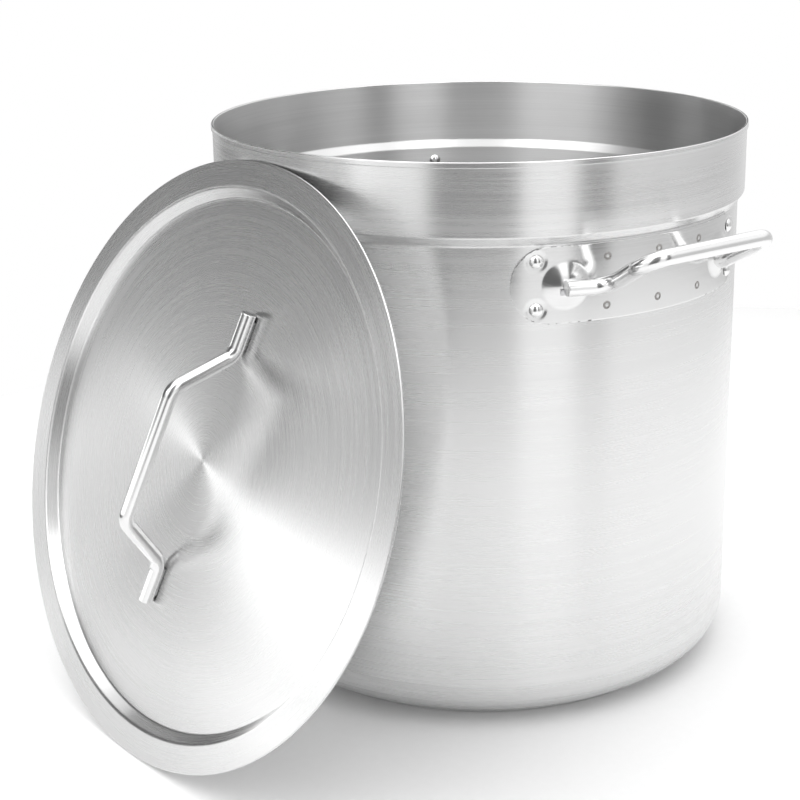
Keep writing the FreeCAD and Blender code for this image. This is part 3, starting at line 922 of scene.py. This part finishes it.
class KETTLE_OT_brackets(bpy.types.Operator):
    """Press the two handle brackets and roll them to the pot's wall"""
    bl_idname = "kettle.brackets"
    bl_label = "Handle brackets"

    def execute(self, context):
        kettle = context.scene.kettle
        for label, side in SIDES:
            name = "plate_" + label
            mesh = plate_mesh(name, kettle.pot, kettle.handles, side)
            piece = bpy.data.objects.new(name, mesh)
            context.scene.collection.objects.link(piece)
            with_thickness(piece, kettle.handles.plate_sheet)
            piece.data.materials.clear()
            piece.data.materials.append(material_for("plate_steel"))
            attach(piece, POT_BODY)
            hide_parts("bracket_" + label)
        return {"FINISHED"}


class KETTLE_OT_rivets(bpy.types.Operator):
    """Set the round rivet heads outside and inside the wall"""
    bl_idname = "kettle.rivets"
    bl_label = "Rivets"

    def execute(self, context):
        kettle = context.scene.kettle
        handle = kettle.handles
        ball = (handle.rivet_head ** 2 + handle.rivet_rise ** 2) / (2.0 * handle.rivet_rise)
        reach = math.asin(handle.rivet_head / ball)
        line = [Vector((0.0, -RIVET_SUNK)), Vector((handle.rivet_head, -RIVET_SUNK))]
        for step in range(RIVET_STEPS + 1):
            angle = reach * (1.0 - step / RIVET_STEPS)
            line.append(Vector((ball * math.sin(angle), handle.rivet_rise - ball * (1.0 - math.cos(angle)))))
        line[-1].x = 0.0
        for label, side in SIDES:
            angles = [side + sign * handle.rivet_angle for sign in (1.0, -1.0)]
            places = wall_places(kettle, angles, handle.rivet_spread, True)
            name = "rivets_" + label
            mesh = scattered(name, line, places, material_for("rivet_steel"))
            new_piece(name, mesh, POT_BODY, material_for("rivet_steel"), "bracket_rivets_" + label)
        return {"FINISHED"}


class KETTLE_OT_spot_welds(bpy.types.Operator):
    """Mark the brackets' spot welds, each a shallow ring round a crater"""
    bl_idname = "kettle.spot_welds"
    bl_label = "Spot welds"

    def execute(self, context):
        kettle = context.scene.kettle
        handle = kettle.handles
        wide = handle.spot_radius
        line = rounded([(wide * share, up * MM, rounding * MM) for share, up, rounding in SPOT_OUTLINE],
                       support=SPOT_SUPPORT, steps=SPOT_STEPS)
        for label, side in SIDES:
            angles = [side + step * handle.spot_angle for step in (-1.0, 0.0, 1.0)]
            places = wall_places(kettle, angles, handle.spot_spread, False)
            name = "spots_" + label
            mesh = scattered(name, line, places, material_for("spot_steel"))
            new_piece(name, mesh, POT_BODY, material_for("spot_steel"), "bracket_spot_welds_" + label)
        return {"FINISHED"}


class KETTLE_OT_side_handles(bpy.types.Operator):
    """Bend the two side handles from round bar and finish the welds under their feet"""
    bl_idname = "kettle.side_handles"
    bl_label = "Side handles"

    def execute(self, context):
        kettle = context.scene.kettle
        pot, handle = kettle.pot, kettle.handles
        radius = pot.body_radius + handle.plate_sheet + handle.boss_rise + handle.weld_rise + handle.bar
        touch = on_wall(radius, -handle.boss_angle, handle.plate_middle)
        along = Vector((math.sin(handle.boss_angle), math.cos(handle.boss_angle), 0.0))
        end = touch + along * ((-handle.foot_end - touch.y) / along.y)
        bend = touch + along * ((-handle.foot_bend - touch.y) / along.y)
        grip = Vector((handle.reach, -handle.corner, handle.plate_middle + handle.lift))
        half = [end, bend, grip]
        points = half + [Vector((point.x, -point.y, point.z)) for point in reversed(half)]
        for label, side in SIDES:
            name = "grip_" + label
            mesh = bent_bar(name, points, handle.bar, handle.bend, material_for("bar_steel"),
                            Matrix.Rotation(side, 4, "Z"))
            new_piece(name, mesh, POT_BODY, material_for("bar_steel"), "side_handle_" + label)
            dress("side_handle_welds_" + label, "weld_steel")
        return {"FINISHED"}


class KETTLE_OT_lid(bpy.types.Operator):
    """Spin the lid: sunken panel, recess wall, flat flange and hemmed edge"""
    bl_idname = "kettle.lid"
    bl_label = "Lid"

    def execute(self, context):
        kettle = context.scene.kettle
        lid = kettle.lid
        line = rounded([
            (0.0, -lid.recess),
            (lid.panel_radius, -lid.recess, PRESS_BEND),
            (lid.recess_radius, 0.0, WIDE_BEND),
            (lid.radius, 0.0, LID_HEM_EDGE),
            (lid.radius, -lid.hem, LID_HEM_EDGE),
            (lid.radius - lid.hem_width, -lid.hem, SOFT_EDGE),
            (lid.radius - lid.hem_width, -lid.sheet, CUT_EDGE),
            (lid.recess_radius + lid.sheet * 0.5, -lid.sheet, PRESS_BEND),
            (lid.panel_radius + lid.sheet * 0.5, -lid.recess - lid.sheet, WIDE_BEND),
            (0.0, -lid.recess - lid.sheet),
        ], steps=ROUNDING_STEPS)
        place = lid_matrix(lid, kettle.pot.collar_radius)
        mesh = turned_mesh("lid_disc", divided(line, LID_RUN), lid.segments, place)
        new_piece("lid_disc", mesh, LID_BODY, material_for("spun_steel"), "lid_cover")
        return {"FINISHED"}


class KETTLE_OT_lid_handle(bpy.types.Operator):
    """Bend the lid handle from round bar and finish the welds under its feet"""
    bl_idname = "kettle.lid_handle"
    bl_label = "Lid handle"

    def execute(self, context):
        kettle = context.scene.kettle
        lid = kettle.lid
        low = lid.weld_rise + lid.bar - lid.recess
        high = low + lid.rise
        half = [(-lid.foot_end, low), (-lid.foot_bend, low), (-lid.corner, high)]
        flat = half + [(-along, up) for along, up in reversed(half)]
        turn = Matrix.Rotation(lid.turn, 4, "Z")
        points = [turn @ Vector((0.0, along, up)) for along, up in flat]
        place = lid_matrix(lid, kettle.pot.collar_radius)
        mesh = bent_bar("lid_grip", points, lid.bar, lid.bend, material_for("bar_steel"), place)
        new_piece("lid_grip", mesh, LID_BODY, material_for("bar_steel"), "lid_handle")
        dress("lid_handle_welds", "weld_steel")
        return {"FINISHED"}


# --- the studio ----------------------------------------------------------------------------------

def aim_camera(studio):
    data = bpy.data.cameras.new("camera")
    data.sensor_width = SENSOR
    data.lens = studio.focal
    data.shift_x, data.shift_y = studio.shift
    data.clip_end = FARTHEST_SEEN
    camera = bpy.data.objects.new("camera", data)
    bpy.context.scene.collection.objects.link(camera)
    spin = Matrix.Rotation(studio.azimuth, 3, "Z")
    flat = Vector((math.sin(studio.yaw), math.cos(studio.yaw), 0.0))
    forward = flat * math.cos(studio.pitch) - Vector((0.0, 0.0, math.sin(studio.pitch)))
    right = forward.cross(Vector((0.0, 0.0, 1.0))).normalized()
    up = right.cross(forward)
    cos_roll, sin_roll = math.cos(studio.roll), math.sin(studio.roll)
    right, up = right * cos_roll + up * sin_roll, up * cos_roll - right * sin_roll
    axes = [spin @ axis for axis in (right, up, -forward)]
    turn = Matrix((axes[0], axes[1], axes[2])).transposed().to_4x4()
    place = spin @ Vector((0.0, -studio.distance, studio.camera_height))
    camera.matrix_world = Matrix.Translation(place) @ turn
    bpy.context.scene.camera = camera


def top_light(azimuth, power):
    """A square soft box overhead that faces the kettle's middle, its azimuth from -Y towards +X."""
    data = bpy.data.lights.new("top", "AREA")
    data.shape = "RECTANGLE"
    data.size = TOP_LIGHT_SIZE
    data.size_y = TOP_LIGHT_SIZE
    data.energy = power
    light = bpy.data.objects.new("top", data)
    bpy.context.scene.collection.objects.link(light)
    across = math.cos(TOP_LIGHT_HEIGHT) * TOP_LIGHT_DISTANCE
    offset = Vector((math.sin(azimuth) * across, -math.cos(azimuth) * across,
                     math.sin(TOP_LIGHT_HEIGHT) * TOP_LIGHT_DISTANCE))
    light.location = LIGHT_TARGET + offset
    light.rotation_euler = offset.to_track_quat("Z", "Y").to_euler()


def sines(degrees):
    return tuple(math.sin(math.radians(value)) for value in degrees)


def towards(bearing, height):
    """The direction at a bearing from the camera and a height, both in degrees."""
    flat, up = math.radians(bearing), math.radians(height)
    return (math.sin(flat) * math.cos(up), -math.cos(flat) * math.cos(up), math.sin(up))


def surround(studio):
    """A white world whose walls are brighter and darker by direction round from the camera.

    The walls glow low down on the lid's side, hold one bright window, and fade to an even level
    overhead. Camera and diffuse rays meet plain white.
    """
    world = bpy.data.worlds.new("studio")
    bpy.context.scene.world = world
    world.use_nodes = True
    tree = NodeTree(world.node_tree)
    background = world.node_tree.nodes["Background"]
    turned = tree.add("ShaderNodeVectorRotate", rotation_type="Z_AXIS")
    turned.inputs["Angle"].default_value = -studio.azimuth
    tree.join(tree.add("ShaderNodeTexCoord").outputs["Generated"], turned.inputs["Vector"])
    parts = tree.add("ShaderNodeSeparateXYZ")
    tree.join(turned.outputs["Vector"], parts.inputs[0])
    x, y, z = parts.outputs
    bearing = tree.math("ARCTAN2", x, tree.math("MULTIPLY", y, -1.0))
    ramp = tree.add("ShaderNodeValToRGB")
    ramp.color_ramp.interpolation = "EASE"
    stops = ramp.color_ramp.elements
    while len(stops) > 1:
        stops.remove(stops[-1])
    stops[0].position = 0.0
    stops[0].color = (STUDIO_BANDS[0][1],) * 3 + (1.0,)
    for degrees, level in STUDIO_BANDS[1:]:
        stops.new((degrees + 180.0) / 360.0).color = (level, level, level, 1.0)
    tree.join(tree.math("ADD", tree.math("DIVIDE", bearing, 2.0 * math.pi), 0.5), ramp.inputs["Fac"])
    from_glow = tree.math("ADD", z, math.sin(math.radians(-GLOW_HEIGHT)))
    low = tree.remap(tree.math("ABSOLUTE", from_glow), 1.0, 0.0, *sines(GLOW_DEPTH))
    round_from_glow = tree.math("ADD", bearing, math.radians(-GLOW_BEARING))
    lid_side = tree.remap(tree.math("ABSOLUTE", round_from_glow), 1.0, 0.0,
                          *(math.radians(value) for value in GLOW_WIDTH))
    glow = tree.mix(tree.math("MULTIPLY", low, lid_side), ramp.outputs["Color"], studio.glow)
    overhead = tree.remap(z, 0.0, 1.0, *sines(OVERHEAD_FADE))
    whole = tree.mix(overhead, glow, studio.overhead)
    toward = tree.add("ShaderNodeVectorMath", operation="DOT_PRODUCT")
    tree.join(turned.outputs["Vector"], toward.inputs[0])
    toward.inputs[1].default_value = towards(*WINDOW)
    inside = tree.remap(toward.outputs["Value"], 0.0, 1.0,
                        *(math.cos(math.radians(value)) for value in WINDOW_EDGE))
    whole = tree.mix(inside, whole, WINDOW_LEVEL)
    path = tree.add("ShaderNodeLightPath")
    plain = tree.math("MAXIMUM", path.outputs["Is Camera Ray"], path.outputs["Is Diffuse Ray"])
    tree.join(tree.mix(plain, whole, 1.0), background.inputs["Color"])
    raised = tree.remap(z, 0.0, studio.lift, *sines(LIFT_FADE))
    raised = tree.math("MULTIPLY", raised, tree.math("SUBTRACT", 1.0, plain))
    tree.join(tree.math("MULTIPLY", tree.math("ADD", raised, 1.0), studio.brightness),
              background.inputs["Strength"])


class KETTLE_OT_studio(bpy.types.Operator):
    """Lay the pale floor, hang the soft lights and place the camera"""
    bl_idname = "kettle.studio"
    bl_label = "Studio"

    def execute(self, context):
        studio = context.scene.kettle.studio
        radius = studio.floor_radius
        line = [Vector(point) for point in
                ((0.0, -FLOOR_DEPTH), (radius, -FLOOR_DEPTH), (radius, 0.0), (0.0, 0.0))]
        mesh = turned_mesh("floor", line, FLOOR_SEGMENTS, Matrix.Translation((*studio.floor_centre, 0.0)))
        floor = bpy.data.objects.new("floor", mesh)
        context.scene.collection.objects.link(floor)
        paper, tree, shader = new_material("paper")
        shader.inputs["Metallic"].default_value = 0.0
        shader.inputs["Roughness"].default_value = PAPER_ROUGHNESS
        shader.inputs["Specular IOR Level"].default_value = PAPER_SHINE
        grain = tree.noise(tree.add("ShaderNodeTexCoord").outputs["Object"], *PAPER_GRAIN)
        tree.join(tree.tint(tree.remap(grain, 0.0, 1.0), PAPER_COLOUR, PAPER_TINT),
                  shader.inputs["Base Color"])
        mesh.materials.append(paper)
        surround(studio)
        top_light(studio.azimuth, studio.top_light)
        aim_camera(studio)
        context.scene.view_settings.view_transform = "Standard"
        return {"FINISHED"}


# --- panel and registration ----------------------------------------------------------------------

class KettleSettings(bpy.types.PropertyGroup):
    pot: PointerProperty(type=KettlePotSettings)
    handles: PointerProperty(type=KettleHandleSettings)
    lid: PointerProperty(type=KettleLidSettings)
    finish: PointerProperty(type=KettleFinishSettings)
    studio: PointerProperty(type=KettleStudioSettings)


STEPS = (
    KETTLE_OT_pot,
    KETTLE_OT_base,
    KETTLE_OT_brackets,
    KETTLE_OT_rivets,
    KETTLE_OT_spot_welds,
    KETTLE_OT_side_handles,
    KETTLE_OT_lid,
    KETTLE_OT_lid_handle,
    KETTLE_OT_studio,
)


class KETTLE_PT_steps(bpy.types.Panel):
    bl_label = "Brew kettle"
    bl_idname = "KETTLE_PT_steps"
    bl_space_type = "VIEW_3D"
    bl_region_type = "UI"
    bl_category = "Kettle"

    def draw(self, context):
        for step in STEPS:
            self.layout.operator(step.bl_idname)


CLASSES = (
    KettlePotSettings,
    KettleHandleSettings,
    KettleLidSettings,
    KettleFinishSettings,
    KettleStudioSettings,
    KettleSettings,
    *STEPS,
    KETTLE_PT_steps,
)


def register():
    for cls in CLASSES:
        bpy.utils.register_class(cls)
    bpy.types.Scene.kettle = PointerProperty(type=KettleSettings)


def unregister():
    del bpy.types.Scene.kettle
    for cls in reversed(CLASSES):
        bpy.utils.unregister_class(cls)


def main():
    register()
    for step in STEPS:
        group, name = step.bl_idname.split(".")
        getattr(getattr(bpy.ops, group), name)()


if __name__ == "__main__":
    main()
